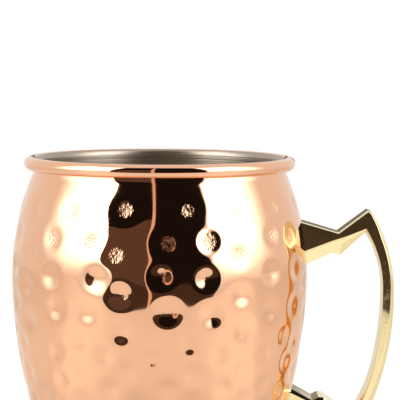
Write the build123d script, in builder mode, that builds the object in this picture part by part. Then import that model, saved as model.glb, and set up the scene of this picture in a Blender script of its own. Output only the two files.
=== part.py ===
"""A barrel-shaped copper mug with a steel lining and a cast brass handle.

The hammered copper shell is curled outward over its mouth and turned in at its foot, where a
dished copper disc closes it. A tapered steel liner drops in through the mouth and is soldered
to the neck, which leaves an air gap between the walls. The brass handle is coped to the shell
and held by two screws from inside that gap, each on a spring washer and a saddle washer, so no
fastener shows from outside or from inside the cup.

Frame: +Z up, the mug's axis on Z, the standing ring on Z = 0, the handle towards +X.
"""

import os
from math import asin, cos, degrees, radians, sin, sqrt, tan

from build123d import *

# Driving dimensions, in millimetres and degrees.

# Copper shell
total_height = 98.0
copper = 0.8  # sheet thickness
belly_radius = 47.5
belly_height = 60.0  # where the barrel is widest
shoulder_arc = 82.0  # radius of the barrel's side above the belly
flank_arc = 156.0  # and below it
shoulder_top = 92.0  # where the shoulder turns upright into the neck
neck_arc = 4.6
foot_corner = 6.0
foot_opening = 26.0  # radius of the hole in the turned-in foot

# Curled lip
curl_radius = 2.1
curl_centre_radius = 41.5
curl_end = 250.0  # how far round the sheet curls, from the mouth side over the top

# Foot disc
disc_radius = 28.0
disc_step_radius = 21.0
disc_dish = 1.2  # how far the middle of the disc stands above its edge
solder_leg = 0.7

# Steel liner
steel = 0.5
mouth_radius = 38.85
mouth_depth = 11.7  # the straight part under the rolled lip
lip_turn = 48.0  # how far the lip is rolled over the inside of the shell's curl
liner_floor = 7.0
liner_corner = 9.0
liner_floor_radius = 34.0  # where the taper would meet the floor

# Handle fastenings, M4
thread_radius = 2.0
screw_reach = 7.0  # how far the shank goes into the brass
head_radius = 3.8
head_height = 1.7
socket_across_flats = 2.5
socket_depth = 1.0
spring_washer_radius = 3.4
spring_washer = 0.8
spring_slit = 0.7
saddle_radius = 5.2
saddle = 0.7  # thickness at the edge of the saddle washer
upper_screw_height = 70.1  # where each screw's axis crosses the shell's outer face
lower_screw_height = 17.9
gap = 0.03  # between faces that are fitted to one another
hole_clearance = 0.25

# Brass handle
root_half_width = 6.3  # at the shell's axis side, measured at root_reach from the axis
root_reach = 38.0
grip_half_width = 4.4
grip_reach = 75.75
handle_bevel = 1.6  # how deep the bevels around the side faces are

# Outline of the handle as (distance from the axis, height), clockwise from the top of its upper
# root: a corner of the bar's widest section, the same corner of its flat side faces and, where an
# arc leads to the next corner, its rise in each of the two.
handle_outline = [
    ((38.0, 79.7), (38.0, 79.4)),
    ((57.5, 73.95), (57.55, 73.65)),
    ((67.0, 81.1), (67.05, 80.7)),  # thumb rest
    ((68.2, 80.6), (67.7, 80.1), (0.25, 0.25)),
    ((72.3, 72.4), (71.2, 72.3), (0.9, 0.95)),
    ((75.75, 54.0), (74.5, 54.0), (1.85, 1.9)),  # outermost point of the grip
    ((69.0, 18.2), (67.1, 19.1)),
    ((65.2, 10.7), (64.5, 11.6)),
    ((64.3, 10.4), (64.1, 11.2)),
    ((55.5, 13.6), (55.5, 14.1)),
    ((38.0, 10.6), (38.0, 11.0)),
    ((38.0, 26.0), (38.0, 24.2)),  # top of the lower root
    ((49.6, 19.6), (49.5, 18.6)),
    ((51.6, 20.6), (51.6, 18.6)),
    ((53.3, 20.5), (53.3, 18.1)),
    ((62.3, 14.2), (62.8, 13.3), (-1.15, -1.15)),
    ((70.2, 36.0), (70.5, 36.0), (-0.45, -0.4)),
    ((71.9, 54.2), (72.05, 54.2), (-1.6, -1.65)),
    ((66.2, 74.1), (66.4, 75.4)),
    ((58.0, 66.6), (59.2, 72.9)),
    ((55.6, 67.5), (55.3, 71.6)),
    ((38.0, 59.6), (38.0, 65.1)),  # underside of the upper root
]


# The barrel's side, as arcs whose centres lie at the height of the belly.

shoulder_centre = belly_radius - shoulder_arc
flank_centre = belly_radius - flank_arc
corner_centre = flank_centre + sqrt(
    (flank_arc - foot_corner) ** 2 - (belly_height - foot_corner) ** 2
)
shoulder_angle = degrees(asin((shoulder_top - belly_height) / shoulder_arc))
flank_angle = degrees(asin((belly_height - foot_corner) / (flank_arc - foot_corner)))
neck_centre = (
    shoulder_centre + (shoulder_arc + neck_arc) * cos(radians(shoulder_angle)),
    belly_height + (shoulder_arc + neck_arc) * sin(radians(shoulder_angle)),
)
neck_radius = neck_centre[0] - neck_arc  # of the shell's outer face, where the neck is upright
neck_height = neck_centre[1]
curl_height = total_height - curl_radius


def side_radius(height):
    """The radius of the shell's outer face at a height between the foot and the neck."""
    if height > belly_height:
        return shoulder_centre + sqrt(shoulder_arc**2 - (height - belly_height) ** 2)
    return flank_centre + sqrt(flank_arc**2 - (belly_height - height) ** 2)


def side_lean(height):
    """How far the shell's outer face leans upward (+) or downward (-) at a height, in degrees."""
    arc = shoulder_arc if height > belly_height else flank_arc
    return degrees(asin((height - belly_height) / arc))


def barrel_side(inset):
    """Arcs of the shell's wall from foot to neck, at a depth under its outer face."""
    foot = CenterArc((corner_centre, foot_corner), foot_corner - inset, -90, 90 - flank_angle)
    flank = CenterArc((flank_centre, belly_height), flank_arc - inset, -flank_angle, flank_angle)
    shoulder = CenterArc(
        (shoulder_centre, belly_height), shoulder_arc - inset, 0, shoulder_angle
    )
    neck = CenterArc(neck_centre, neck_arc + inset, 180 + shoulder_angle, -shoulder_angle)
    return foot, flank, shoulder, neck


def barrel_blank(inset, name):
    """A solid barrel whose side lies at a depth under the shell's outer face."""
    with BuildPart() as blank:
        with BuildSketch(Plane.XZ):
            with BuildLine():
                foot, _, _, neck = barrel_side(inset)
                Polyline(neck @ 1, (0, neck_height), (0, inset), foot @ 0)
            make_face()
        revolve(axis=Axis.Z)
    blank.part.label = name
    return blank.part


outer_barrel = barrel_blank(-gap, "outer_barrel")
inner_barrel = barrel_blank(copper + gap, "inner_barrel")


def screw_plane(height):
    """The plane on the shell's outer face at a screw, with its normal along the screw."""
    lean = radians(side_lean(height))
    return Plane(
        origin=(side_radius(height), 0, height), x_dir=(0, 1, 0), z_dir=(cos(lean), 0, sin(lean))
    )


screw_planes = {
    "upper": screw_plane(upper_screw_height),
    "lower": screw_plane(lower_screw_height),
}

# Copper shell, with its curled lip and turned-in foot

with BuildPart() as outer_shell:
    with BuildSketch(Plane.XZ):
        with BuildLine():
            foot, _, _, neck = barrel_side(0)
            inner_foot, _, _, inner_neck = barrel_side(copper)
            curl_bore = curl_radius - copper
            curl_centre = (curl_centre_radius, curl_height)
            neck_offset = curl_centre_radius - neck_radius
            bore_start = 180 + degrees(asin(sqrt(curl_bore**2 - neck_offset**2) / curl_bore))
            inside = CenterArc(curl_centre, curl_bore, bore_start, 180 - curl_end - bore_start)
            outside = CenterArc(curl_centre, curl_radius, 180, -curl_end)
            Line(neck @ 1, inside @ 0)
            Line(inside @ 1, outside @ 1)
            Line(outside @ 0, inner_neck @ 1)
            Polyline(inner_foot @ 0, (foot_opening, copper), (foot_opening, 0), foot @ 0)
        make_face()
    revolve(axis=Axis.Z)
    for plane in screw_planes.values():
        with Locations(plane):
            Hole(thread_radius + hole_clearance, depth=3 * copper)
outer_shell.part.label = "outer_shell"

# Copper disc that closes the foot, dished so that the mug stands on the ring around it

with BuildPart() as foot_disc:
    with BuildSketch(Plane.XZ):
        with BuildLine():
            step = disc_dish
            Polyline(
                (0, copper + gap + disc_dish),
                (disc_step_radius, copper + gap + disc_dish),
                (disc_step_radius + step, copper + gap),
                (disc_radius, copper + gap),
                (disc_radius, 2 * copper),
                (disc_step_radius + step, 2 * copper),
                (disc_step_radius, 2 * copper + disc_dish),
                (0, 2 * copper + disc_dish),
                close=True,
            )
        make_face()
    revolve(axis=Axis.Z)
foot_disc.part.label = "foot_disc"

# Solder fillet around the edge of the disc

with BuildPart() as foot_solder:
    with BuildSketch(Plane.XZ):
        with BuildLine():
            Polyline(
                (disc_radius + gap, copper + gap),
                (disc_radius + gap + solder_leg, copper + gap),
                (disc_radius + gap, copper + gap + solder_leg),
                close=True,
            )
        make_face()
    revolve(axis=Axis.Z)
foot_solder.part.label = "foot_solder"

# Steel liner: its lip rolled over the shell's curl, straight at the mouth, tapered below it and
# round at the floor

with BuildPart() as liner:
    with BuildSketch(Plane.XZ) as liner_section:
        with BuildLine():
            outside_radius = mouth_radius + steel
            Polyline(
                (0, liner_floor - steel),
                (liner_floor_radius + steel, liner_floor - steel),
                (outside_radius, curl_height - mouth_depth),
                (outside_radius, curl_height),
                (0, curl_height),
                close=True,
            )
        make_face()
        fillet(
            liner_section.vertices().group_by(Axis.Y)[0].sort_by(Axis.X)[-1], liner_corner + steel
        )
    revolve(axis=Axis.Z)
    top_face = liner.faces().sort_by(Axis.Z)[-1]
    offset(amount=-steel, openings=top_face)
    with BuildSketch(Plane.XZ):
        with BuildLine():
            lip_radius = curl_centre_radius - mouth_radius
            lip_outside = CenterArc(curl_centre, lip_radius - steel, 180, -lip_turn)
            lip_inside = CenterArc(curl_centre, lip_radius, 180, -lip_turn)
            Line(lip_outside @ 0, lip_inside @ 0)
            Line(lip_outside @ 1, lip_inside @ 1)
        make_face()
    revolve(axis=Axis.Z)
liner.part.label = "liner"

# Solder ring between the liner and the neck, under the curl

with BuildPart() as lip_solder:
    with BuildSketch(Plane.XZ):
        with BuildLine():
            Polyline(
                (mouth_radius + steel + gap, neck_height - 0.6),
                (neck_radius - copper - 2 * gap, neck_height - 0.6),
                (neck_radius - copper - 2 * gap, neck_height),
                (mouth_radius + steel + 2 * gap, curl_height - 0.4),
                (mouth_radius + steel + gap, curl_height - 0.4),
                close=True,
            )
        make_face()
    revolve(axis=Axis.Z)
lip_solder.part.label = "lip_solder"

# Fastenings, made once for each arm of the handle. Each screw's axis stands square to the shell.

saddle_sink = saddle_radius**2 / (2 * (belly_radius - copper))  # the shell's hollow under a saddle
saddle_seat = -(copper + gap + saddle_sink + saddle)
washer_seat = saddle_seat - gap - spring_washer
head_seat = washer_seat - gap

fastenings = []
for position, plane in screw_planes.items():
    with BuildPart() as saddle_washer:
        with BuildSketch(plane.offset(saddle_seat)):
            Circle(saddle_radius)
            Circle(thread_radius + hole_clearance, mode=Mode.SUBTRACT)
        extrude(amount=-saddle_seat)
        add(inner_barrel, mode=Mode.INTERSECT)
    saddle_washer.part.label = f"{position}_saddle_washer"

    with BuildPart() as spring_ring:
        with BuildSketch(plane.offset(washer_seat)):
            Circle(spring_washer_radius)
            Circle(thread_radius + hole_clearance, mode=Mode.SUBTRACT)
            with Locations((0, spring_washer_radius)):
                Rectangle(spring_slit, 2 * spring_washer_radius, rotation=20, mode=Mode.SUBTRACT)
        extrude(amount=spring_washer)
    spring_ring.part.label = f"{position}_spring_washer"

    with BuildPart() as screw:
        with BuildSketch(plane.offset(head_seat - head_height)):
            Circle(head_radius)
        extrude(amount=head_height)
        screw_axis = Axis(plane.origin, plane.z_dir)
        fillet(screw.edges().filter_by(GeomType.CIRCLE).sort_by(screw_axis)[0], 1.0)
        with BuildSketch(plane.offset(head_seat)):
            Circle(thread_radius)
        extrude(amount=-head_seat + screw_reach)
        chamfer(screw.edges().filter_by(GeomType.CIRCLE).sort_by(screw_axis)[-1], 0.4)
        with BuildSketch(plane.offset(head_seat - head_height)):
            RegularPolygon(socket_across_flats / 2, 6, major_radius=False)
        extrude(amount=socket_depth, mode=Mode.SUBTRACT)
    screw.part.label = f"{position}_screw"
    fastenings += [saddle_washer.part, spring_ring.part, screw.part]

# Cast brass handle: a bar with bevelled sides that narrows from its roots to the grip

side_angle = degrees(asin((root_half_width - grip_half_width) / (grip_reach - root_reach)))
axis_half_width = root_half_width + root_reach * tan(radians(side_angle))


def side_plane(side, depth):
    """The plane of a side face, seen along +Y and moved inward by a depth."""
    lean = radians(side * side_angle)
    return Plane(
        origin=(0, side * (axis_half_width - depth), 0),
        x_dir=(cos(lean), -sin(lean), 0),
        z_dir=(-sin(lean), -cos(lean), 0),
    )


sections = [(-1, 0, 1), (-1, handle_bevel, 0), (1, handle_bevel, 0), (1, 0, 1)]

with BuildPart() as handle:
    for side, depth, column in sections:
        with BuildSketch(side_plane(side, depth)):
            with BuildLine():
                for row, following in zip(handle_outline, handle_outline[1:] + handle_outline[:1]):
                    if len(row) == 3:
                        SagittaArc(row[column], following[column], row[2][column])
                    else:
                        Line(row[column], following[column])
            make_face()
    loft(ruled=True)
    add(outer_barrel, mode=Mode.SUBTRACT)
    for plane in screw_planes.values():
        with BuildSketch(plane):
            Circle(thread_radius + gap)
        extrude(amount=screw_reach + 1, mode=Mode.SUBTRACT)
handle.part.label = "handle"

# One file for each piece

os.makedirs("parts", exist_ok=True)
pieces = [
    outer_shell.part,
    foot_disc.part,
    foot_solder.part,
    liner.part,
    lip_solder.part,
    handle.part,
    *fastenings,
]
for piece in pieces:
    export_step(piece, f"parts/{piece.label}.step")
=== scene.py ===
import math
import random

import bpy
import numpy as np
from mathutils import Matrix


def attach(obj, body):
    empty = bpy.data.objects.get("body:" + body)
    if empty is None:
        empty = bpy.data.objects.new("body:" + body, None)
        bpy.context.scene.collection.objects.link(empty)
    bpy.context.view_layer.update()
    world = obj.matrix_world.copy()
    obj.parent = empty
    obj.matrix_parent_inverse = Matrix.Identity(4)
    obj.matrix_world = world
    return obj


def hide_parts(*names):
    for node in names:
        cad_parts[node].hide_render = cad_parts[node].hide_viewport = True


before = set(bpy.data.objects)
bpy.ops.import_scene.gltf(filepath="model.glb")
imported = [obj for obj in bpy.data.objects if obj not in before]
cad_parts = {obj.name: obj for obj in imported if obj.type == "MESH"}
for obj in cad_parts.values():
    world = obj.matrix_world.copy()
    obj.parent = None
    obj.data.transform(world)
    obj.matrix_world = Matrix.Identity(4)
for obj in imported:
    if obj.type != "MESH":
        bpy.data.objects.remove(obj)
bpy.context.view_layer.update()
mm = 0.001


def linear(hexColour):  # sRGB hex to the linear values that sockets take
    parts = [int(hexColour[i:i + 2], 16) / 255 for i in (1, 3, 5)]
    return tuple(c / 12.92 if c <= 0.04045 else ((c + 0.055) / 1.055) ** 2.4 for c in parts) + (1.0,)


def addNode(tree, kind, settings=None, links=None):  # a node, what is set on it and what feeds it
    node = tree.nodes.new(kind)
    for key, value in (settings or {}).items():
        if isinstance(key, str) and hasattr(node, key):
            setattr(node, key, value)
        else:
            node.inputs[key].default_value = value
    for key, source in (links or {}).items():
        tree.links.new(source, node.inputs[key])
    return node


def newMaterial(name, settings):  # a principled material; returns it with its tree and shader
    material = bpy.data.materials.new(name)
    material.use_nodes = True
    tree = material.node_tree
    shader = tree.nodes["Principled BSDF"]
    for key, value in settings.items():
        shader.inputs[key].default_value = value
    return material, tree, shader


def deselectAll():
    for thing in bpy.context.selected_objects:
        thing.select_set(False)


def pickOnly(thing):
    deselectAll()
    thing.select_set(True)
    bpy.context.view_layer.objects.active = thing


def applyModifiers(thing):
    pickOnly(thing)
    for modifier in list(thing.modifiers):
        bpy.ops.object.modifier_apply(modifier=modifier.name)


def placePiece(thing, node, material):  # hands a finished piece over to the mug
    thing.data.materials.clear()
    thing.data.materials.append(material)
    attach(thing, "root")
    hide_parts(node)


def rollSheet(name, profile, columns):
    # a flat grid rolled round the axis: its rows follow the profile's (radius, height) in mm
    deselectAll()
    bpy.ops.mesh.primitive_grid_add(x_subdivisions=columns, y_subdivisions=len(profile) - 1, size=2)
    sheet = bpy.context.active_object
    sheet.name = sheet.data.name = name
    count = len(sheet.data.vertices)
    flat = np.empty(count * 3)
    sheet.data.vertices.foreach_get("co", flat)
    flat = flat.reshape(-1, 3)
    turn = (flat[:, 0] + 1) * math.pi
    row = np.rint((flat[:, 1] + 1) / 2 * (len(profile) - 1)).astype(int)
    path = np.array(profile) * mm
    rolled = np.column_stack((path[row, 0] * np.cos(turn), path[row, 0] * np.sin(turn), path[row, 1]))
    sheet.data.vertices.foreach_set("co", rolled.ravel())
    pickOnly(sheet)
    bpy.ops.object.mode_set(mode="EDIT")
    bpy.ops.mesh.select_all(action="SELECT")
    bpy.ops.mesh.remove_doubles(threshold=0.00001)
    bpy.ops.mesh.normals_make_consistent(inside=False)
    bpy.ops.object.mode_set(mode="OBJECT")
    bpy.ops.object.shade_smooth()
    return sheet


def arcPoints(centre, radius, start, end, count):  # points on an arc in the (radius, height) plane
    angles = [math.radians(start + (end - start) * i / (count - 1)) for i in range(count)]
    return [(centre[0] + radius * math.cos(a), centre[1] + radius * math.sin(a)) for a in angles]


shell = {  # the copper sheet, drawn to a barrel with a curled lip; sizes in mm
    "wall": 0.8,
    "belly": (47.5, 60.0),  # radius and height where the barrel is widest
    "shoulderArc": 82.0,
    "flankArc": 156.0,
    "shoulderTop": 92.0,
    "neckArc": 4.6,
    "footArc": 6.0,
    "footHole": 26.0,
    "curl": (41.5, 95.9),  # middle of the curled lip
    "curlRadius": 2.1,
    "curlTurn": 250,
    "hem": [(0.1, 0.1), (0.3, 0)],  # the eased edge of the foot's hole: how far past it, and how high
    "columns": 384,
    "rowStep": 0.5,  # height between rows where the hammering is
    "insideRows": 13,  # the wall's hidden inside is smooth, so it needs few
    "points": {"foot": 9, "neck": 7, "curlInside": 16, "curlOutside": 26, "footInside": 4},  # on each arc
}


def barrelRadius(height):
    bellyRadius, bellyHeight = shell["belly"]
    arc = shell["shoulderArc"] if height > bellyHeight else shell["flankArc"]
    return bellyRadius - arc + math.sqrt(arc ** 2 - (height - bellyHeight) ** 2)


def shellProfile():
    bellyRadius, bellyHeight = shell["belly"]
    wall = shell["wall"]
    points = shell["points"]
    flankX = bellyRadius - shell["flankArc"]
    reach = shell["flankArc"] - shell["footArc"]
    drop = bellyHeight - shell["footArc"]
    footCentre = (flankX + math.sqrt(reach ** 2 - drop ** 2), shell["footArc"])
    flankAngle = math.degrees(math.asin(drop / reach))
    shoulderX = bellyRadius - shell["shoulderArc"]
    lean = math.asin((shell["shoulderTop"] - bellyHeight) / shell["shoulderArc"])
    neckCentre = (
        shoulderX + (shell["shoulderArc"] + shell["neckArc"]) * math.cos(lean),
        bellyHeight + (shell["shoulderArc"] + shell["neckArc"]) * math.sin(lean),
    )
    neckRadius = neckCentre[0] - shell["neckArc"]
    lowest = footCentre[1] - shell["footArc"] * math.sin(math.radians(flankAngle))
    rows = int((shell["shoulderTop"] - lowest) / shell["rowStep"])
    heights = [lowest + (shell["shoulderTop"] - lowest) * i / rows for i in range(1, rows)]
    curl, radius = shell["curl"], shell["curlRadius"]
    end = 180 - shell["curlTurn"]
    outside = [(shell["footHole"], wall)] + [(shell["footHole"] + past, rise) for past, rise in shell["hem"]]
    outside += arcPoints(footCentre, shell["footArc"], -90, -flankAngle, points["foot"])
    outside += [(barrelRadius(height), height) for height in heights]
    outside += arcPoints(neckCentre, shell["neckArc"], 180 + math.degrees(lean), 180, points["neck"])
    inner = radius - wall
    start = 180 + math.degrees(math.acos((curl[0] - neckRadius) / inner))
    outside += arcPoints(curl, inner, start, end, points["curlInside"])
    outside += arcPoints(curl, radius, end, 180, points["curlOutside"])
    inside = [(neckRadius - wall, neckCentre[1])]
    for i in range(1, shell["insideRows"]):
        height = shell["shoulderTop"] - i * (shell["shoulderTop"] - lowest) / shell["insideRows"]
        inside.append((barrelRadius(height) - wall, height))
    inside += arcPoints(footCentre, shell["footArc"] - wall, -flankAngle, -90, points["footInside"])
    inside.append((shell["footHole"], wall))
    return outside + inside


# where the hammer struck: each row repeats its marks eight times round the barrel,
# each mark an angle in degrees from the front and a height in mm; a row's two last numbers say
# how much of the hammer's rough print the buffing has left and how hard the blows were
hammer = {
    "seed": 7,
    "repeats": 8,
    "rows": [
        ([(-12.0, 84.2), (11.0, 84.2)], 1.0, 0.5),
        ([(4.0, 75.2), (19.0, 74.9)], 0.9, 0.72),
        ([(-13.5, 70.3)], 0.8, 0.55),
        ([(3.0, 64.6), (19.0, 64.2), (-13.5, 59.0)], 0.12, 0.95),
        ([(4.0, 53.9), (18.5, 53.4), (-11.5, 48.4)], 0.05, 1.0),
        ([(1.0, 40.3), (13.5, 44.1), (-20.0, 41.0)], 0.03, 0.96),
        ([(-9.0, 35.6), (14.5, 35.0)], 0.03, 0.96),
        ([(4.0, 31.2), (-18.5, 30.9)], 0.03, 0.9),
        ([(-8.0, 26.4), (14.0, 26.2)], 0.03, 0.85),
        ([(3.5, 22.0), (-19.0, 21.8)], 0.03, 0.8),
    ],
    "angleDrift": 1.3,
    "heightDrift": 0.5,
    "sizes": (0.92, 1.08),
    "lightBelow": (46, 0.88),  # a height, and how much smaller the blows are below it
    "radius": 4.3,
    "depth": 0.68,
    "core": 0.5,  # the share of the depth that lies in the narrow middle of a dimple
    "coreRadius": 2.5,
    "edge": 0.25,  # how soft the rim of a dimple is, as a share of the rest
    "deepest": 0.74,  # no dent goes through the sheet
    "spare": 0.14,  # a dent this far short of the deepest starts to flatten out
    "skirt": 0.04,  # depth of the wide shallow dip that each blow leaves round its dimple
    "skirtRadius": 6.4,
    "grainRadius": 2.2,  # the rough spot left by the hammer's face
    "grainFade": (1.15, 0.35),  # where the spot starts to fade and over how much, as shares of its radius
    "rootAngle": 14.0,  # no marks this near the handle's roots
    "rootHeights": [(56, 84), (0, 30)],  # where the roots are
    "struckHeights": (6, 91),  # the part of the barrel that is hammered
    "waves": 14,  # long faint waves that planishing leaves between the marks
    "waveDepth": 0.014,
    "waveTurns": (5, 17),  # how many of them go round the barrel
    "waveClimb": 0.28,  # how much a wave leans, in radians per mm of height
    "waveEases": (12, 8),  # heights over which the waves fade out, at the foot and at the neck
}


def hammerMarks():
    chance = random.Random(hammer["seed"])
    marks = []
    for row, rough, blow in hammer["rows"]:
        for repeat in range(hammer["repeats"]):
            for angle, height in row:
                angle += repeat * 360 / hammer["repeats"] + chance.gauss(0, hammer["angleDrift"])
                height += chance.gauss(0, hammer["heightDrift"])
                size = chance.uniform(*hammer["sizes"])
                if height < hammer["lightBelow"][0]:
                    size *= hammer["lightBelow"][1]
                fromHandle = abs((angle - 90 + 180) % 360 - 180)
                nearRoot = any(low < height < high for low, high in hammer["rootHeights"])
                if fromHandle > hammer["rootAngle"] or not nearRoot:
                    marks.append((math.radians(angle), height, size, rough, blow))
    return marks


def strikeShell(thing):
    count = len(thing.data.vertices)
    points = np.empty(count * 3)
    thing.data.vertices.foreach_get("co", points)
    points = points.reshape(-1, 3) / mm
    radius = np.hypot(points[:, 0], points[:, 1])
    angle = np.arctan2(points[:, 0], -points[:, 1])  # zero at the front, growing towards the handle
    height = points[:, 2]
    bellyRadius, bellyHeight = shell["belly"]
    arc = np.where(height > bellyHeight, shell["shoulderArc"], shell["flankArc"])
    rise = np.clip((height - bellyHeight) / arc, -0.99, 0.99)
    side = bellyRadius - arc + arc * np.sqrt(1 - rise ** 2)
    low, high = hammer["struckHeights"]
    outer = (np.abs(radius - side) < 0.05) & (height > low) & (height < high)
    dip = np.zeros(count)
    grain = np.zeros(count)
    for markAngle, markHeight, size, rough, blow in hammerMarks():
        across = side * (np.mod(angle - markAngle + math.pi, 2 * math.pi) - math.pi)
        along = (height - markHeight) / np.sqrt(1 - rise ** 2)
        away = np.hypot(across, along) / (hammer["radius"] * size)
        near = outer & (away < 3)
        rim = (1 - away[near] ** 2) / hammer["edge"]
        bowl = (1 - hammer["core"]) * hammer["edge"] * np.logaddexp(0, rim)
        core = hammer["core"] * np.exp(-(away[near] * hammer["radius"] / hammer["coreRadius"]) ** 2)
        skirt = hammer["skirt"] * np.exp(-(away[near] * hammer["radius"] / hammer["skirtRadius"]) ** 2)
        dip[near] += size * (hammer["depth"] * blow * (bowl + core) + skirt)
        spot = hammer["grainRadius"] / hammer["radius"]
        fadeFrom, fadeOver = hammer["grainFade"]
        spotPrint = rough * np.clip((spot * fadeFrom - away[near]) / (spot * fadeOver), 0, 1)
        grain[near] = np.maximum(grain[near], spotPrint)
    chance = random.Random(hammer["seed"] + 1)
    easeLow, easeHigh = hammer["waveEases"]
    calm = np.clip((height - low) / easeLow, 0, 1) * np.clip((high - height) / easeHigh, 0, 1) * outer
    for i in range(hammer["waves"]):
        turns = chance.randint(*hammer["waveTurns"])
        climb = chance.uniform(-hammer["waveClimb"], hammer["waveClimb"])
        dip += hammer["waveDepth"] * calm * np.sin(turns * angle + climb * height + chance.uniform(0, 6.28))
    spare = hammer["spare"]
    firm = hammer["deepest"] - spare
    dip = np.where(dip > firm, firm + spare * np.tanh((dip - firm) / spare), dip)
    points[:, 0] -= dip * np.sqrt(1 - rise ** 2) * np.sin(angle)
    points[:, 1] += dip * np.sqrt(1 - rise ** 2) * np.cos(angle)
    points[:, 2] -= dip * rise
    thing.data.vertices.foreach_set("co", (points * mm).ravel())
    struck = thing.data.attributes.new("struck", "FLOAT", "POINT")
    struck.data.foreach_set("value", grain.astype(np.float32))
    thing.data.update()


# polished copper: sheet drawn to shape, hammered cold and buffed, so it mirrors the room;
# the middle of each blow keeps the print of the hammer's face
polishedCopper, tree, shader = newMaterial("polishedCopper", {
    "Base Color": linear("#F2BD99"), "Metallic": 1.0, "Roughness": 0.04})
place = addNode(tree, "ShaderNodeTexCoord")
struck = addNode(tree, "ShaderNodeAttribute", {"attribute_name": "struck"})
pitting = addNode(tree, "ShaderNodeTexNoise", {"Scale": 1100.0, "Detail": 2.0, "Roughness": 0.6},
                  {"Vector": place.outputs["Object"]})  # pits about 0.9 mm apart
buffing = addNode(tree, "ShaderNodeTexNoise", {"Scale": 95.0, "Detail": 2.0},
                  {"Vector": place.outputs["Object"]})  # swirls about 10 mm wide
gloss = addNode(tree, "ShaderNodeMapRange", {"From Min": 0.35, "From Max": 0.75, "To Min": 0.03,
                "To Max": 0.07}, {"Value": buffing.outputs["Fac"]})
dull = addNode(tree, "ShaderNodeMath", {"operation": "MULTIPLY_ADD", 1: 0.05},
               {0: struck.outputs["Fac"], 2: gloss.outputs["Result"]})
pits = addNode(tree, "ShaderNodeMapRange", {"From Min": 0.3, "From Max": 0.7, "To Min": -0.5,
               "To Max": 0.5}, {"Value": pitting.outputs["Fac"]})
relief = addNode(tree, "ShaderNodeMath", {"operation": "MULTIPLY"},
                 {0: struck.outputs["Fac"], 1: pits.outputs["Result"]})
dents = addNode(tree, "ShaderNodeBump", {"Strength": 1.0, "Distance": 0.00012},
                {"Height": relief.outputs["Value"]})
tree.links.new(dull.outputs["Value"], shader.inputs["Roughness"])
tree.links.new(dents.outputs["Normal"], shader.inputs["Normal"])

hammeredShell = rollSheet("hammeredShell", shellProfile(), shell["columns"])
strikeShell(hammeredShell)
placePiece(hammeredShell, "outer_shell", polishedCopper)
print("copper shell:", len(hammeredShell.data.polygons), "faces")

liner = {  # the steel cup inside; sizes in mm
    "mouthRadius": 38.85,
    "wall": 0.5,
    "straight": 11.7,  # the straight part under the rolled lip
    "lipTurn": 48,  # how far the lip is rolled over the inside of the shell's curl
    "floor": 7.0,
    "floorRadius": 34.0,
    "corner": 9.0,
    "sideFrom": 22.0,  # height of the first row on the straight taper
    "bendGap": 1.5,  # from the bend to the rows above and below it
    "straightRow": 6.0,  # and to the last row under the lip
    "points": {"floor": 8, "corner": 16, "side": 14, "lip": 12},
    "columns": 288,
}


def linerProfile(inset):  # from the floor's middle up to the lip, at a depth into the wall
    low = liner["floor"] - liner["wall"] + inset
    foot = liner["floorRadius"] + liner["wall"]
    top = liner["mouthRadius"] + liner["wall"]
    curlX, curlHeight = shell["curl"]
    bend = curlHeight - liner["straight"]
    slope = math.atan((top - foot) / (bend - liner["floor"] + liner["wall"]))
    radius = liner["corner"] + liner["wall"]
    centreHeight = liner["floor"] - liner["wall"] + radius
    wallAt = foot + (centreHeight - liner["floor"] + liner["wall"]) * math.tan(slope)
    centre = (wallAt - radius / math.cos(slope), centreHeight)
    counts = liner["points"]
    heights = np.linspace(liner["sideFrom"], bend - liner["bendGap"], counts["side"])
    points = [(centre[0] * i / counts["floor"], low) for i in range(counts["floor"])]
    points += arcPoints(centre, radius - inset, -90, -math.degrees(slope), counts["corner"])
    points += [(top - inset - (bend - z) * math.tan(slope), z) for z in heights]
    points += [(top - inset, bend + rise) for rise in (0, liner["bendGap"], liner["straightRow"])]
    points += arcPoints((curlX, curlHeight), curlX - top + inset, 180, 180 - liner["lipTurn"], counts["lip"])
    return points


# brushed stainless steel: spun to shape and brushed with fine grit as it turned,
# so its lines run round the cup and smear a highlight up and down
brushedSteel, tree, shader = newMaterial("brushedStainless", {
    "Base Color": linear("#A89C8D"), "Metallic": 1.0, "Roughness": 0.3})
place = addNode(tree, "ShaderNodeTexCoord")
lines = addNode(tree, "ShaderNodeMapping", {"Scale": (12.0, 12.0, 2600.0)},
                {"Vector": place.outputs["Object"]})  # lines 0.4 mm apart, a few centimetres long
grit = addNode(tree, "ShaderNodeTexNoise", {"Scale": 1.0, "Detail": 4.0, "Roughness": 0.6},
               {"Vector": lines.outputs["Vector"]})
sheenRange = addNode(tree, "ShaderNodeMapRange", {"From Min": 0.3, "From Max": 0.7, "To Min": 0.24,
                     "To Max": 0.38}, {"Value": grit.outputs["Fac"]})
scratches = addNode(tree, "ShaderNodeBump", {"Strength": 0.6, "Distance": 0.00008},
                    {"Height": grit.outputs["Fac"]})
tree.links.new(sheenRange.outputs["Result"], shader.inputs["Roughness"])
tree.links.new(scratches.outputs["Normal"], shader.inputs["Normal"])

cupProfile = linerProfile(0) + linerProfile(liner["wall"])[::-1]
steelLiner = rollSheet("steelLiner", cupProfile, liner["columns"])
placePiece(steelLiner, "liner", brushedSteel)
print("steel liner:", len(steelLiner.data.polygons), "faces")

disc = {  # the dished copper disc in the foot; sizes in mm
    "radius": 28.0,
    "step": 21.0,  # radius where the dish ends
    "dish": 1.2,
    "seat": 0.83,
    "thick": 0.77,
    "rings": 6,  # rows across the flat middle
    "stepRows": 9,
    "columns": 192,
}


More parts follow.
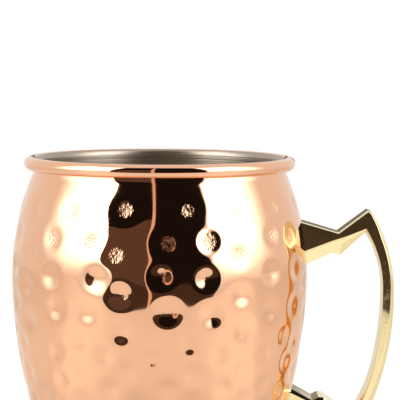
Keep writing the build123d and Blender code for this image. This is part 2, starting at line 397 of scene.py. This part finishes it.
def discProfile():
    seat, top = disc["seat"], disc["seat"] + disc["thick"]
    slope = [(disc["step"] + disc["dish"] * (1 - math.cos(t)) / 2, disc["dish"] * (1 + math.cos(t)) / 2)
             for t in np.linspace(0, math.pi, disc["stepRows"])]  # an eased step from the middle to the edge
    rings = disc["rings"]
    under = [(disc["step"] * i / rings, seat + disc["dish"]) for i in range(rings)]
    under += [(r, seat + z) for r, z in slope] + [(disc["radius"], seat)]
    over = [(disc["radius"], top)] + [(r, top + z) for r, z in slope[::-1]]
    over += [(disc["step"] * i / rings, top + disc["dish"]) for i in range(rings - 1, -1, -1)]
    return under + over


# satin copper: rolled sheet pressed to shape and wiped with a nylon wheel, never polished,
# so it shows faint rings and soft blotches of handling
satinCopper, tree, shader = newMaterial("satinCopper", {
    "Base Color": linear("#E3A883"), "Metallic": 1.0, "Roughness": 0.28})
place = addNode(tree, "ShaderNodeTexCoord")
rings = addNode(tree, "ShaderNodeTexWave", {"wave_type": "RINGS", "rings_direction": "Z",
                "Scale": 190.0, "Distortion": 3.0, "Detail": 2.0},
                {"Vector": place.outputs["Object"]})  # rings 1.6 mm apart
blotches = addNode(tree, "ShaderNodeTexNoise", {"Scale": 120.0, "Detail": 3.0},
                   {"Vector": place.outputs["Object"]})
wiped = addNode(tree, "ShaderNodeMapRange", {"From Min": 0.3, "From Max": 0.7, "To Min": 0.2,
                "To Max": 0.36}, {"Value": blotches.outputs["Fac"]})
ringed = addNode(tree, "ShaderNodeBump", {"Strength": 0.4, "Distance": 0.00005},
                 {"Height": rings.outputs["Fac"]})
tree.links.new(wiped.outputs["Result"], shader.inputs["Roughness"])
tree.links.new(ringed.outputs["Normal"], shader.inputs["Normal"])

footDisc = rollSheet("footDisc", discProfile(), disc["columns"])
placePiece(footDisc, "foot_disc", satinCopper)
print("foot disc:", len(footDisc.data.polygons), "faces")

# corners of the bar seen from the front, clockwise from the top of the upper root, in mm:
# where its widest section turns, where its flat side face turns and, where an arc leads
# to the next corner, its rise in each of the two
handle = {
    "corners": [
        ((38.0, 79.7), (38.0, 79.4)),
        ((57.5, 73.95), (57.55, 73.65)),
        ((67.0, 81.1), (67.05, 80.7)),  # thumb rest
        ((68.2, 80.6), (67.7, 80.1), (0.25, 0.25)),
        ((72.3, 72.4), (71.2, 72.3), (0.9, 0.95)),
        ((75.75, 54.0), (74.5, 54.0), (1.85, 1.9)),  # outermost point of the grip
        ((69.0, 18.2), (67.1, 19.1)),
        ((65.2, 10.7), (64.5, 11.6)),
        ((64.3, 10.4), (64.1, 11.2)),
        ((55.5, 13.6), (55.5, 14.1)),
        ((38.0, 10.6), (38.0, 11.0)),
        ((38.0, 26.0), (38.0, 24.2)),  # top of the lower root
        ((49.6, 19.6), (49.5, 18.6)),
        ((51.6, 20.6), (51.6, 18.6)),
        ((53.3, 20.5), (53.3, 18.1)),
        ((62.3, 14.2), (62.8, 13.3), (-1.15, -1.15)),
        ((70.2, 36.0), (70.5, 36.0), (-0.45, -0.4)),
        ((71.9, 54.2), (72.05, 54.2), (-1.6, -1.65)),
        ((66.2, 74.1), (66.4, 75.4)),
        ((58.0, 66.6), (59.2, 72.9)),
        ((55.6, 67.5), (55.3, 71.6)),
        ((38.0, 59.6), (38.0, 65.1)),  # underside of the upper root
    ],
    "arcSteps": 28,
    "rootHalfWidth": 6.3,
    "gripHalfWidth": 4.4,
    "rootReach": 38.0,
    "gripReach": 75.75,
    "bevel": 1.6,  # how deep the bevels round the side faces are
    "shallow": {11: 0.55, 12: 0.3, 13: 0.45, 14: 0.5},  # and on the lower root's top corners
    "ridge": 0.4,  # the share of a bevel's height over which it rolls out of the side face
    "bevelSteps": 7,
    "softEdge": 0.28,  # radius left on the edges by the buffing wheel
    "smoothAngle": 40,  # degrees; sharper edges stay crisp
    "seat": 0.03,  # between the roots and the shell
    "copeRows": 40,  # rows up the solid that copes the roots
    "copeHeights": (0.2, 93.2),
}


def handleOutline(column):  # one closed line round the bar, its arcs cut into short steps
    corners = handle["corners"]
    points = []
    for index, row in enumerate(corners):
        following = corners[(index + 1) % len(corners)]
        start, end = np.array(row[column]), np.array(following[column])
        depth = handle["shallow"].get(index, handle["bevel"])
        points.append((*start, depth))
        if len(row) == 3:
            rise = row[2][column]
            chord = end - start
            length = np.hypot(*chord)
            out = np.array([-chord[1], chord[0]]) / length * math.copysign(1, rise)
            radius = length ** 2 / (8 * abs(rise)) + abs(rise) / 2
            half = math.asin(length / 2 / radius)
            for i in range(1, handle["arcSteps"]):
                turn = half * (2 * i / handle["arcSteps"] - 1)
                along = length / 2 + radius * math.sin(turn)
                up = radius * math.cos(turn) - radius * math.cos(half)
                ease = (1 - i / handle["arcSteps"]) ** 3 if depth < handle["bevel"] else 0
                eased = handle["bevel"] + (depth - handle["bevel"]) * ease
                points.append((*(start + chord / length * along + out * up), eased))
    return np.array(points)


def sideSection(side, share):  # the outline where a bevel has covered that share of its height
    run = handle["gripReach"] - handle["rootReach"]
    lean = math.asin((handle["rootHalfWidth"] - handle["gripHalfWidth"]) / run)
    roll = handle["ridge"]
    depth = share ** 2 / (2 * roll) if share < roll else share - roll / 2
    outline = handleOutline(1) * (1 - share) + handleOutline(0) * share
    width = handle["rootHalfWidth"] + handle["rootReach"] * math.tan(lean)
    points = []
    for x, z, deep in outline:
        half = width - deep * depth / (1 - roll / 2) - x * math.sin(lean)
        points.append((x * math.cos(lean) * mm, side * half * mm, z * mm))
    return points


def castHandle():
    steps = handle["bevelSteps"]
    shares = [handle["ridge"] * i / (steps - 1) for i in range(steps)] + [1.0]
    sections = [sideSection(-1, share) for share in shares]
    sections += [sideSection(1, share) for share in shares[::-1]]
    deselectAll()
    bpy.ops.mesh.primitive_circle_add(vertices=len(sections[0]), radius=0.04, fill_type="NGON")
    bar = bpy.context.active_object
    bar.name = bar.data.name = "brassHandle"
    for vertex, point in zip(bar.data.vertices, sections[0]):
        vertex.co = point
    for section in sections[1:]:
        bpy.ops.object.mode_set(mode="EDIT")
        bpy.ops.mesh.extrude_region_move(TRANSFORM_OT_translate={"value": (0, 0.003, 0)})  # any length
        bpy.ops.object.mode_set(mode="OBJECT")
        picked = [v for v in bar.data.vertices if v.select]
        for vertex, point in zip(picked, section):
            vertex.co = point
    bpy.ops.object.mode_set(mode="EDIT")
    bpy.ops.mesh.select_all(action="SELECT")
    bpy.ops.mesh.normals_make_consistent(inside=False)
    bpy.ops.object.mode_set(mode="OBJECT")
    return bar


def barrelCutter():  # the shell's smooth outside as a solid, to cope the roots to
    bottom, top = handle["copeHeights"]
    rows = [bottom + (top - bottom) * i / handle["copeRows"] for i in range(handle["copeRows"] + 1)]
    profile = [(0, rows[0])] + [(barrelRadius(z) + handle["seat"], z) for z in rows] + [(0, rows[-1])]
    return rollSheet("barrelCutter", profile, 256)


brassHandle = castHandle()
cutter = barrelCutter()
cope = brassHandle.modifiers.new("cope", "BOOLEAN")
cope.operation, cope.object, cope.solver = "DIFFERENCE", cutter, "EXACT"
applyModifiers(brassHandle)
bpy.data.objects.remove(cutter)
soften = brassHandle.modifiers.new("soften", "BEVEL")
soften.width, soften.segments, soften.angle_limit = handle["softEdge"] * mm, 3, math.radians(17)
soften.limit_method, soften.use_clamp_overlap, soften.miter_outer = "ANGLE", True, "MITER_SHARP"
applyModifiers(brassHandle)
bpy.ops.object.shade_smooth_by_angle(angle=math.radians(handle["smoothAngle"]))
level = brassHandle.modifiers.new("level", "WEIGHTED_NORMAL")
level.keep_sharp, level.weight = True, 80
applyModifiers(brassHandle)

# polished brass: cast in sand, filed and buffed; faint hollows from the file stay in its facets
polishedBrass, tree, shader = newMaterial("polishedBrass", {
    "Base Color": linear("#F3E2B0"), "Metallic": 1.0, "Roughness": 0.07})
place = addNode(tree, "ShaderNodeTexCoord")
hollows = addNode(tree, "ShaderNodeTexNoise", {"Scale": 130.0, "Detail": 1.0},
                  {"Vector": place.outputs["Object"]})  # hollows about 8 mm wide
pits = addNode(tree, "ShaderNodeTexNoise", {"Scale": 1400.0, "Detail": 2.0},
               {"Vector": place.outputs["Object"]})  # casting pits under a millimetre
gloss = addNode(tree, "ShaderNodeMapRange", {"From Min": 0.35, "From Max": 0.8, "To Min": 0.05,
                "To Max": 0.14}, {"Value": pits.outputs["Fac"]})
filed = addNode(tree, "ShaderNodeBump", {"Strength": 0.5, "Distance": 0.0002},
                {"Height": hollows.outputs["Fac"]})
tree.links.new(gloss.outputs["Result"], shader.inputs["Roughness"])
tree.links.new(filed.outputs["Normal"], shader.inputs["Normal"])
placePiece(brassHandle, "handle", polishedBrass)
print("brass handle:", len(brassHandle.data.polygons), "faces")

# tin solder: run in with a torch and left as it froze, dull and slightly lumpy
tinSolder, tree, shader = newMaterial("tinSolder", {
    "Base Color": linear("#A9A9A6"), "Metallic": 1.0, "Roughness": 0.45})
place = addNode(tree, "ShaderNodeTexCoord")
lumps = addNode(tree, "ShaderNodeTexNoise", {"Scale": 600.0}, {"Vector": place.outputs["Object"]})
froze = addNode(tree, "ShaderNodeBump", {"Strength": 0.6, "Distance": 0.0002},
                {"Height": lumps.outputs["Fac"]})
tree.links.new(froze.outputs["Normal"], shader.inputs["Normal"])

# zinc plate: bright electroplated coat on steel, bluish, with a fine cloudiness
zincPlate, tree, shader = newMaterial("brightZincPlate", {
    "Base Color": linear("#B9C0C8"), "Metallic": 1.0, "Roughness": 0.22})
place = addNode(tree, "ShaderNodeTexCoord")
cloud = addNode(tree, "ShaderNodeTexNoise", {"Scale": 700.0}, {"Vector": place.outputs["Object"]})
cloudy = addNode(tree, "ShaderNodeMapRange", {"To Min": 0.14, "To Max": 0.34},
                 {"Value": cloud.outputs["Fac"]})
tree.links.new(cloudy.outputs["Result"], shader.inputs["Roughness"])

# rolled brass: stamped from sheet and left as rolled, with the mill's fine straight lines
rolledBrass, tree, shader = newMaterial("rolledBrass", {
    "Base Color": linear("#CDAE63"), "Metallic": 1.0, "Roughness": 0.3})
place = addNode(tree, "ShaderNodeTexCoord")
mill = addNode(tree, "ShaderNodeMapping", {"Scale": (60.0, 1800.0, 60.0)},
               {"Vector": place.outputs["Object"]})
millLines = addNode(tree, "ShaderNodeTexNoise", {"Scale": 1.0}, {"Vector": mill.outputs["Vector"]})
milled = addNode(tree, "ShaderNodeMapRange", {"To Min": 0.2, "To Max": 0.4},
                 {"Value": millLines.outputs["Fac"]})
tree.links.new(milled.outputs["Result"], shader.inputs["Roughness"])

# spring steel: hardened, tempered and oiled, so it is dark with a soft gloss
springSteel, tree, shader = newMaterial("oiledSpringSteel", {
    "Base Color": linear("#6B6B70"), "Metallic": 1.0, "Roughness": 0.32})
place = addNode(tree, "ShaderNodeTexCoord")
temper = addNode(tree, "ShaderNodeTexNoise", {"Scale": 500.0}, {"Vector": place.outputs["Object"]})
oiled = addNode(tree, "ShaderNodeMapRange", {"To Min": 0.22, "To Max": 0.45},
                {"Value": temper.outputs["Fac"]})
tree.links.new(oiled.outputs["Result"], shader.inputs["Roughness"])

fastenings = {
    "foot_solder": tinSolder, "lip_solder": tinSolder,
    "upper_screw": zincPlate, "lower_screw": zincPlate,
    "upper_saddle_washer": rolledBrass, "lower_saddle_washer": rolledBrass,
    "upper_spring_washer": springSteel, "lower_spring_washer": springSteel,
}
for node, material in fastenings.items():
    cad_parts[node].data.materials.clear()
    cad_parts[node].data.materials.append(material)
print("fastenings:", len(fastenings))

studio = {
    "floor": "#FBFAF9",
    "tableEdge": -0.31,  # where the pale table ends in front of the mug
    "tableGlow": 1.64,
    # painted light on the table: how the lamps' light falls off over it, with a painted shadow of the mug
    # near its foot and two painted highlights of the soft boxes; by distance from the mug in metres, and by
    # turn round it, where 1 is all the way round
    "byDistance": [(0.05, 0.72), (0.075, 0.79), (0.1, 0.87), (0.14, 0.90), (0.22, 0.88), (0.31, 0.84)],
    "byTurn": [(0.02, 0.66), (0.09, 0.82), (0.17, 0.71), (0.25, 0.68),
               (0.33, 0.71), (0.41, 0.82), (0.48, 0.66)],
    "roomGlow": 0.92,  # how bright the pale room looks in the metal
    "boxGlow": 3.6,
    "roomLight": 1.08,  # and how much it lights everything else
    "frontCard": -1.15,  # the dark end of the room behind the camera
    "boxFoot": -0.35,  # height of the diffusers' lower edge
    "boxSteps": (24, 12),
    "cameraAt": (0.0127, -0.548, 0.1321),
    "cameraTilt": (84.97, -0.3, 0),
    "lens": 153.4,
}


def stageCard(name, size, location, tilt, colour, glow=None):
    # a flat card; one with a glow shows only as a reflection in the metal
    deselectAll()
    bpy.ops.mesh.primitive_plane_add(size=1)
    card = bpy.context.active_object
    card.name = name
    card.scale = (size[0], size[1], 1)
    card.rotation_euler = (math.radians(tilt), 0, 0)
    card.location = location
    material, tree, shader = newMaterial(name, {"Base Color": linear(colour), "Roughness": 0.9})
    if glow is not None:
        shader.inputs["Base Color"].default_value = (0, 0, 0, 1)
        shader.inputs["Specular IOR Level"].default_value = 0
        shader.inputs["Emission Color"].default_value = linear(colour)
        shader.inputs["Emission Strength"].default_value = glow
        card.visible_camera = card.visible_diffuse = card.visible_shadow = False
    card.data.materials.append(material)
    return card


def fadingMaterial(name, colour, strength, build):
    # light where build's value is one, nothing where it is zero
    material = bpy.data.materials.new(name)
    material.use_nodes = True
    tree = material.node_tree
    tree.nodes.clear()
    share = build(tree, addNode(tree, "ShaderNodeUVMap").outputs["UV"])
    clear = addNode(tree, "ShaderNodeBsdfTransparent")
    glow = addNode(tree, "ShaderNodeEmission", {"Color": linear(colour), "Strength": strength})
    mixed = addNode(tree, "ShaderNodeMixShader", {}, {0: share, 1: clear.outputs["BSDF"],
                    2: glow.outputs["Emission"]})
    addNode(tree, "ShaderNodeOutputMaterial", {}, {"Surface": mixed.outputs["Shader"]})
    return material


def softShadow(name, size, location):  # a blurred dark shape at the far end of the room

    def blob(tree, place):
        centred = addNode(tree, "ShaderNodeMapping", {"Location": (-1, -1, 0), "Scale": (2, 2, 1)},
                          {"Vector": place})
        ball = addNode(tree, "ShaderNodeTexGradient", {"gradient_type": "SPHERICAL"},
                       {"Vector": centred.outputs["Vector"]})
        firm = addNode(tree, "ShaderNodeMapRange", {"interpolation_type": "SMOOTHSTEP", "From Max": 0.6},
                       {"Value": ball.outputs["Fac"]})
        return firm.outputs["Result"]

    card = stageCard(name, size, location, 90, "#FFFFFF", 1.0)
    card.data.materials.clear()
    card.data.materials.append(fadingMaterial(name, "#7A6E64", 1.0, blob))


def softBox(name, near, far, top):
    # a tall curved diffuser a metre away, brightest at its edge near the camera and fading away
    # from it; angles in degrees, counted from the front towards the handle
    across, up = studio["boxSteps"]
    foot = studio["boxFoot"]
    deselectAll()
    bpy.ops.mesh.primitive_grid_add(x_subdivisions=across, y_subdivisions=up, size=2)
    box = bpy.context.active_object
    box.name = name
    for vertex in box.data.vertices:
        turn = math.radians(near + (far - near) * (vertex.co.x + 1) / 2)
        height = foot + (top - foot) * (vertex.co.y + 1) / 2
        vertex.co = (math.sin(turn), -math.cos(turn), height)

    def falloff(tree, place):
        parts = addNode(tree, "ShaderNodeSeparateXYZ", {}, {"Vector": place})
        fade = addNode(tree, "ShaderNodeMapRange", {"interpolation_type": "SMOOTHSTEP", "From Min": 0.5,
                       "From Max": 1.0, "To Min": 1.0, "To Max": 0.0}, {"Value": parts.outputs["X"]})
        low = addNode(tree, "ShaderNodeMapRange", {"interpolation_type": "SMOOTHSTEP", "From Min": 0.17,
                      "From Max": 0.33}, {"Value": parts.outputs["Y"]})
        lit = addNode(tree, "ShaderNodeMath", {"operation": "MULTIPLY"},
                      {0: fade.outputs["Result"], 1: low.outputs["Result"]})
        return lit.outputs["Value"]

    box.data.materials.append(fadingMaterial(name, "#FFFFFF", studio["boxGlow"], falloff))
    box.visible_camera = box.visible_diffuse = box.visible_shadow = False


front = studio["frontCard"]
edge = studio["tableEdge"]
floor = stageCard("paleFloor", (12, 12), (0, 0, 0), 0, studio["floor"])
floor.visible_glossy = False
back = 0.6  # where the table ends behind the mug
# the table is a card whose glow is painted light; it shows only as a reflection in the metal
table = stageCard("paintedLightTable", (3.0, back - edge), (0, (back + edge) / 2, 0.0002), 0, "#FFFAF3",
                  studio["tableGlow"])
tree = table.active_material.node_tree
# the glow is shaded by distance and by turn round the mug: a painted shadow near its foot and painted
# highlights where the soft boxes are
place = addNode(tree, "ShaderNodeNewGeometry")
reach = addNode(tree, "ShaderNodeVectorMath", {"operation": "LENGTH"}, {0: place.outputs["Position"]})
aroundMug = addNode(tree, "ShaderNodeTexGradient", {"gradient_type": "RADIAL"},
                    {"Vector": place.outputs["Position"]})
shades = []
for source, key in ((reach.outputs["Value"], "byDistance"), (aroundMug.outputs["Fac"], "byTurn")):
    shade = addNode(tree, "ShaderNodeFloatCurve", {}, {"Value": source})
    curve = shade.mapping.curves[0]
    for x, y in studio[key]:
        curve.points.new(x, y)
    curve.points[0].location = (0, studio[key][0][1])
    curve.points[-1].location = (1, studio[key][-1][1])
    shade.mapping.update()
    shades.append(shade.outputs["Value"])
tableShade = addNode(tree, "ShaderNodeMath", {"operation": "MULTIPLY"}, {0: shades[0], 1: shades[1]})
tableGlow = addNode(tree, "ShaderNodeMath", {"operation": "MULTIPLY", 1: studio["tableGlow"]},
                    {0: tableShade.outputs["Value"]})
tree.links.new(tableGlow.outputs["Value"], tree.nodes["Principled BSDF"].inputs["Emission Strength"])
stageCard("darkRoomEnd", (1.92, 3.4), (0, front, 0.9), 90, "#1B1714", 1.0)
stageCard("brownCupboard", (0.80, 1.6), (-0.50, front + 0.01, -0.22), 90, "#604C42", 1.0)
stageCard("floorBeyond", (1.9, 0.6), (0, front + 0.015, -0.32), 90, "#47392F", 1.0)
stageCard("doorFrame", (0.055, 2.4), (-0.09, front + 0.02, 0.6), 90, "#D8B49F", 1.3)
# two painted shadows: dark blurred glows that show only as reflections in the metal
softShadow("shelfShadowBehind", (0.34, 0.24), (-0.03, 1.2, 0.2))
softShadow("cornerShadowBehind", (0.26, 0.2), (0.225, 1.2, 0.13))
softBox("leftSoftBox", -39, -101, 1.5)
softBox("rightSoftBox", 41, 102, 1.5)

world = bpy.data.worlds.new("paleRoom")
bpy.context.scene.world = world
world.use_nodes = True
tree = world.node_tree
tree.nodes.clear()
rays = addNode(tree, "ShaderNodeLightPath")
pale = addNode(tree, "ShaderNodeBackground", {"Color": (1, 1, 1, 1), "Strength": studio["roomLight"]})
room = addNode(tree, "ShaderNodeBackground",
               {"Color": (1, 0.99, 0.98, 1), "Strength": studio["roomGlow"]})
both = addNode(tree, "ShaderNodeMixShader", {}, {0: rays.outputs["Is Glossy Ray"],
               1: pale.outputs["Background"], 2: room.outputs["Background"]})
addNode(tree, "ShaderNodeOutputWorld", {}, {"Surface": both.outputs["Shader"]})
bpy.context.scene.view_settings.view_transform = "Standard"

deselectAll()
tilt = [math.radians(angle) for angle in studio["cameraTilt"]]
bpy.ops.object.camera_add(location=studio["cameraAt"], rotation=tilt)
camera = bpy.context.active_object
camera.data.lens, camera.data.sensor_width = studio["lens"], 36
bpy.context.scene.camera = camera
print("table, lights and camera set")
